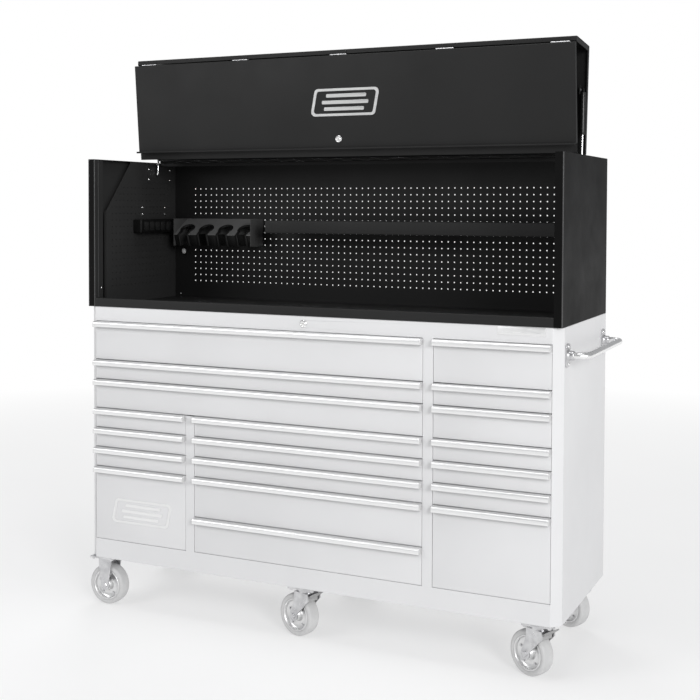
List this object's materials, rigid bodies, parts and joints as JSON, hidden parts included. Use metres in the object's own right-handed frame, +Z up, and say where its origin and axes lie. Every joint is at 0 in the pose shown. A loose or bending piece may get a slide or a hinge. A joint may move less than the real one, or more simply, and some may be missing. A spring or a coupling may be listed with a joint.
{
  "type": "rolling tool chest",
  "caption": "Wheeled steel cabinet of drawers under a tool hutch with a pegboard, a shelf and a two-part flip-up lid that folds open on gas struts.",
  "frame": {"origin": "on the floor under the middle of the whole footprint, casters and push handle included", "axes": "+X to the right along the front with the push handle at +X, +Y to the back, +Z up; the drawers open towards -Y"},
  "size_m": [1.9294, 0.6429, 2.1011],
  "materials": {
    "cabinet_paint": "satin powder coat, pale grey",
    "hutch_paint": "semi-gloss black powder coat",
    "zinc": "zinc-plated",
    "bright_steel": "polished",
    "caster_tread": "moulded grey tread on a cast rim",
    "pedal_grey": "grey",
    "strip_plastic": "matte"
  },
  "bodies": {
    "cabinet": {"cabinet_sides": "cabinet_paint", "cabinet_back": "cabinet_paint", "cabinet_top": "cabinet_paint", "cabinet_floor": "cabinet_paint", "front_frame": "cabinet_paint", "inner_walls": "cabinet_paint", "slide_rails": "zinc", "push_handle": "bright_steel", "handle_brackets": "zinc", "caster_plates": "zinc", "rigid_forks": "zinc", "hutch_sides": "hutch_paint", "hutch_liners": "hutch_paint", "pegboard": "hutch_paint", "hutch_roof": "hutch_paint", "hutch_floor": "hutch_paint", "hutch_shelf": "hutch_paint", "tool_rack": "hutch_paint", "power_strip": "strip_plastic", "lid_hinges": "zinc"},
    "lid": {"lid": "hutch_paint", "door_hinges": "zinc"},
    "door": {"door": "hutch_paint"},
    "strut_rods": {"strut_rods": "bright_steel"},
    "strut_cylinders": {"strut_cylinders": "hutch_paint"},
    "door_lock": {"door_lock": "bright_steel"},
    "cabinet_lock": {"cabinet_lock": "bright_steel"},
    "drawer_wide_1": {"drawer_wide_1": "cabinet_paint"},
    "drawer_wide_2": {"drawer_wide_2": "cabinet_paint"},
    "drawer_wide_3": {"drawer_wide_3": "cabinet_paint"},
    "drawer_left_1": {"drawer_left_1": "cabinet_paint"},
    "drawer_left_2": {"drawer_left_2": "cabinet_paint"},
    "drawer_left_3": {"drawer_left_3": "cabinet_paint"},
    "drawer_left_4": {"drawer_left_4": "cabinet_paint"},
    "drawer_middle_1": {"drawer_middle_1": "cabinet_paint"},
    "drawer_middle_2": {"drawer_middle_2": "cabinet_paint"},
    "drawer_middle_3": {"drawer_middle_3": "cabinet_paint"},
    "drawer_middle_4": {"drawer_middle_4": "cabinet_paint"},
    "drawer_middle_5": {"drawer_middle_5": "cabinet_paint"},
    "drawer_right_1": {"drawer_right_1": "cabinet_paint"},
    "drawer_right_2": {"drawer_right_2": "cabinet_paint"},
    "drawer_right_3": {"drawer_right_3": "cabinet_paint"},
    "drawer_right_4": {"drawer_right_4": "cabinet_paint"},
    "drawer_right_5": {"drawer_right_5": "cabinet_paint"},
    "drawer_right_6": {"drawer_right_6": "cabinet_paint"},
    "drawer_right_7": {"drawer_right_7": "cabinet_paint"},
    "wheel_front_left": {"wheel_front_left": "caster_tread"},
    "wheel_rear_left": {"wheel_rear_left": "caster_tread"},
    "wheel_front_middle": {"wheel_front_middle": "caster_tread"},
    "wheel_front_right": {"wheel_front_right": "caster_tread"},
    "wheel_rear_middle": {"wheel_rear_middle": "caster_tread"},
    "wheel_rear_right": {"wheel_rear_right": "caster_tread"},
    "fork_front_middle": {"fork_front_middle": "zinc"},
    "brake_pedal_front_middle": {"brake_pedal_front_middle": "pedal_grey"},
    "fork_front_right": {"fork_front_right": "zinc"},
    "brake_pedal_front_right": {"brake_pedal_front_right": "pedal_grey"},
    "fork_rear_middle": {"fork_rear_middle": "zinc"},
    "brake_pedal_rear_middle": {"brake_pedal_rear_middle": "pedal_grey"},
    "fork_rear_right": {"fork_rear_right": "zinc"},
    "brake_pedal_rear_right": {"brake_pedal_rear_right": "pedal_grey"}
  },
  "joints": [
    {"name": "lid_hinge", "type": "hinge", "parent": "cabinet", "child": "lid", "pos_m": [-0.02675, 0.13056, 1.706], "axis": [1, 0, 0], "range_deg": [0, 94.5], "stiffness_Nm_per_rad": 15, "springref_deg": -80.21},
    {"name": "door_fold", "type": "hinge", "parent": "lid", "child": "door", "pos_m": [-0.02675, -0.02447, 2.08132], "axis": [1, 0, 0], "range_deg": [-99.51, 0]},
    {"name": "strut_pivot", "type": "hinge", "parent": "cabinet", "child": "strut_rods", "pos_m": [-0.02675, 0.10056, 1.656], "axis": [1, 0, 0], "range_deg": [0, 88.06]},
    {"name": "strut_slide", "type": "slide", "parent": "strut_rods", "child": "strut_cylinders", "axis": [0, 0.0531, 0.9986], "range_m": [-0.08175, 0]},
    {"name": "door_lock_turn", "type": "hinge", "parent": "door", "child": "door_lock", "pos_m": [-0.02675, -0.01772, 1.77474], "axis": [0, -0.9962, -0.0872], "range_deg": [0, 90]},
    {"name": "cabinet_lock_turn", "type": "hinge", "parent": "cabinet", "child": "cabinet_lock", "pos_m": [-0.02675, -0.29944, 1.12], "axis": [0, -1, 0], "range_deg": [0, 90]},
    {"name": "drawer_wide_1_slide", "type": "slide", "parent": "cabinet", "child": "drawer_wide_1", "axis": [0, -1, 0], "range_m": [0, 0.5]},
    {"name": "drawer_wide_2_slide", "type": "slide", "parent": "cabinet", "child": "drawer_wide_2", "axis": [0, -1, 0], "range_m": [0, 0.5]},
    {"name": "drawer_wide_3_slide", "type": "slide", "parent": "cabinet", "child": "drawer_wide_3", "axis": [0, -1, 0], "range_m": [0, 0.5]},
    {"name": "drawer_left_1_slide", "type": "slide", "parent": "cabinet", "child": "drawer_left_1", "axis": [0, -1, 0], "range_m": [0, 0.5]},
    {"name": "drawer_left_2_slide", "type": "slide", "parent": "cabinet", "child": "drawer_left_2", "axis": [0, -1, 0], "range_m": [0, 0.5]},
    {"name": "drawer_left_3_slide", "type": "slide", "parent": "cabinet", "child": "drawer_left_3", "axis": [0, -1, 0], "range_m": [0, 0.5]},
    {"name": "drawer_left_4_slide", "type": "slide", "parent": "cabinet", "child": "drawer_left_4", "axis": [0, -1, 0], "range_m": [0, 0.5]},
    {"name": "drawer_middle_1_slide", "type": "slide", "parent": "cabinet", "child": "drawer_middle_1", "axis": [0, -1, 0], "range_m": [0, 0.5]},
    {"name": "drawer_middle_2_slide", "type": "slide", "parent": "cabinet", "child": "drawer_middle_2", "axis": [0, -1, 0], "range_m": [0, 0.5]},
    {"name": "drawer_middle_3_slide", "type": "slide", "parent": "cabinet", "child": "drawer_middle_3", "axis": [0, -1, 0], "range_m": [0, 0.5]},
    {"name": "drawer_middle_4_slide", "type": "slide", "parent": "cabinet", "child": "drawer_middle_4", "axis": [0, -1, 0], "range_m": [0, 0.5]},
    {"name": "drawer_middle_5_slide", "type": "slide", "parent": "cabinet", "child": "drawer_middle_5", "axis": [0, -1, 0], "range_m": [0, 0.5]},
    {"name": "drawer_right_1_slide", "type": "slide", "parent": "cabinet", "child": "drawer_right_1", "axis": [0, -1, 0], "range_m": [0, 0.5]},
    {"name": "drawer_right_2_slide", "type": "slide", "parent": "cabinet", "child": "drawer_right_2", "axis": [0, -1, 0], "range_m": [0, 0.5]},
    {"name": "drawer_right_3_slide", "type": "slide", "parent": "cabinet", "child": "drawer_right_3", "axis": [0, -1, 0], "range_m": [0, 0.5]},
    {"name": "drawer_right_4_slide", "type": "slide", "parent": "cabinet", "child": "drawer_right_4", "axis": [0, -1, 0], "range_m": [0, 0.5]},
    {"name": "drawer_right_5_slide", "type": "slide", "parent": "cabinet", "child": "drawer_right_5", "axis": [0, -1, 0], "range_m": [0, 0.5]},
    {"name": "drawer_right_6_slide", "type": "slide", "parent": "cabinet", "child": "drawer_right_6", "axis": [0, -1, 0], "range_m": [0, 0.5]},
    {"name": "drawer_right_7_slide", "type": "slide", "parent": "cabinet", "child": "drawer_right_7", "axis": [0, -1, 0], "range_m": [0, 0.5]},
    {"name": "wheel_front_left_roll", "type": "hinge", "parent": "cabinet", "child": "wheel_front_left", "pos_m": [-0.88875, -0.24244, 0.076], "axis": [0, 1, 0], "continuous": true},
    {"name": "wheel_rear_left_roll", "type": "hinge", "parent": "cabinet", "child": "wheel_rear_left", "pos_m": [-0.88875, 0.25356, 0.076], "axis": [0, 1, 0], "continuous": true},
    {"name": "fork_front_middle_swivel", "type": "hinge", "parent": "cabinet", "child": "fork_front_middle", "pos_m": [-0.03675, -0.24244, 0.166], "axis": [0, 0, 1], "continuous": true},
    {"name": "wheel_front_middle_roll", "type": "hinge", "parent": "fork_front_middle", "child": "wheel_front_middle", "pos_m": [-0.07328, -0.23196, 0.076], "axis": [0.2756, 0.9613, 0], "continuous": true},
    {"name": "brake_pedal_front_middle_press", "type": "hinge", "parent": "fork_front_middle", "child": "brake_pedal_front_middle", "pos_m": [-0.0156, -0.2485, 0.149], "axis": [0.2756, 0.9613, 0], "range_deg": [0, 25]},
    {"name": "fork_front_right_swivel", "type": "hinge", "parent": "cabinet", "child": "fork_front_right", "pos_m": [0.81125, -0.24244, 0.166], "axis": [0, 0, 1], "continuous": true},
    {"name": "wheel_front_right_roll", "type": "hinge", "parent": "fork_front_right", "child": "wheel_front_right", "pos_m": [0.77681, -0.22638, 0.076], "axis": [0.4226, 0.9063, 0], "continuous": true},
    {"name": "brake_pedal_front_right_press", "type": "hinge", "parent": "fork_front_right", "child": "brake_pedal_front_right", "pos_m": [0.83119, -0.25174, 0.149], "axis": [0.4226, 0.9063, 0], "range_deg": [0, 25]},
    {"name": "fork_rear_middle_swivel", "type": "hinge", "parent": "cabinet", "child": "fork_rear_middle", "pos_m": [-0.03675, 0.25356, 0.166], "axis": [0, 0, 1], "continuous": true},
    {"name": "wheel_rear_middle_roll", "type": "hinge", "parent": "fork_rear_middle", "child": "wheel_rear_middle", "pos_m": [-0.07328, 0.26404, 0.076], "axis": [0.2756, 0.9613, 0], "continuous": true},
    {"name": "brake_pedal_rear_middle_press", "type": "hinge", "parent": "fork_rear_middle", "child": "brake_pedal_rear_middle", "pos_m": [-0.0156, 0.2475, 0.149], "axis": [0.2756, 0.9613, 0], "range_deg": [0, 25]},
    {"name": "fork_rear_right_swivel", "type": "hinge", "parent": "cabinet", "child": "fork_rear_right", "pos_m": [0.81125, 0.25356, 0.166], "axis": [0, 0, 1], "continuous": true},
    {"name": "wheel_rear_right_roll", "type": "hinge", "parent": "fork_rear_right", "child": "wheel_rear_right", "pos_m": [0.77681, 0.26962, 0.076], "axis": [0.4226, 0.9063, 0], "continuous": true},
    {"name": "brake_pedal_rear_right_press", "type": "hinge", "parent": "fork_rear_right", "child": "brake_pedal_rear_right", "pos_m": [0.83119, 0.24426, 0.149], "axis": [0.4226, 0.9063, 0], "range_deg": [0, 25]}
  ],
  "couplings": [
    {"joint": "door_fold", "follows": "lid_hinge", "ratio": -1.0529},
    {"joint": "strut_pivot", "follows": "lid_hinge", "ratio": 0.93161},
    {"joint": "strut_slide", "follows": "lid_hinge", "m_per_rad": -0.049441}
  ]
}
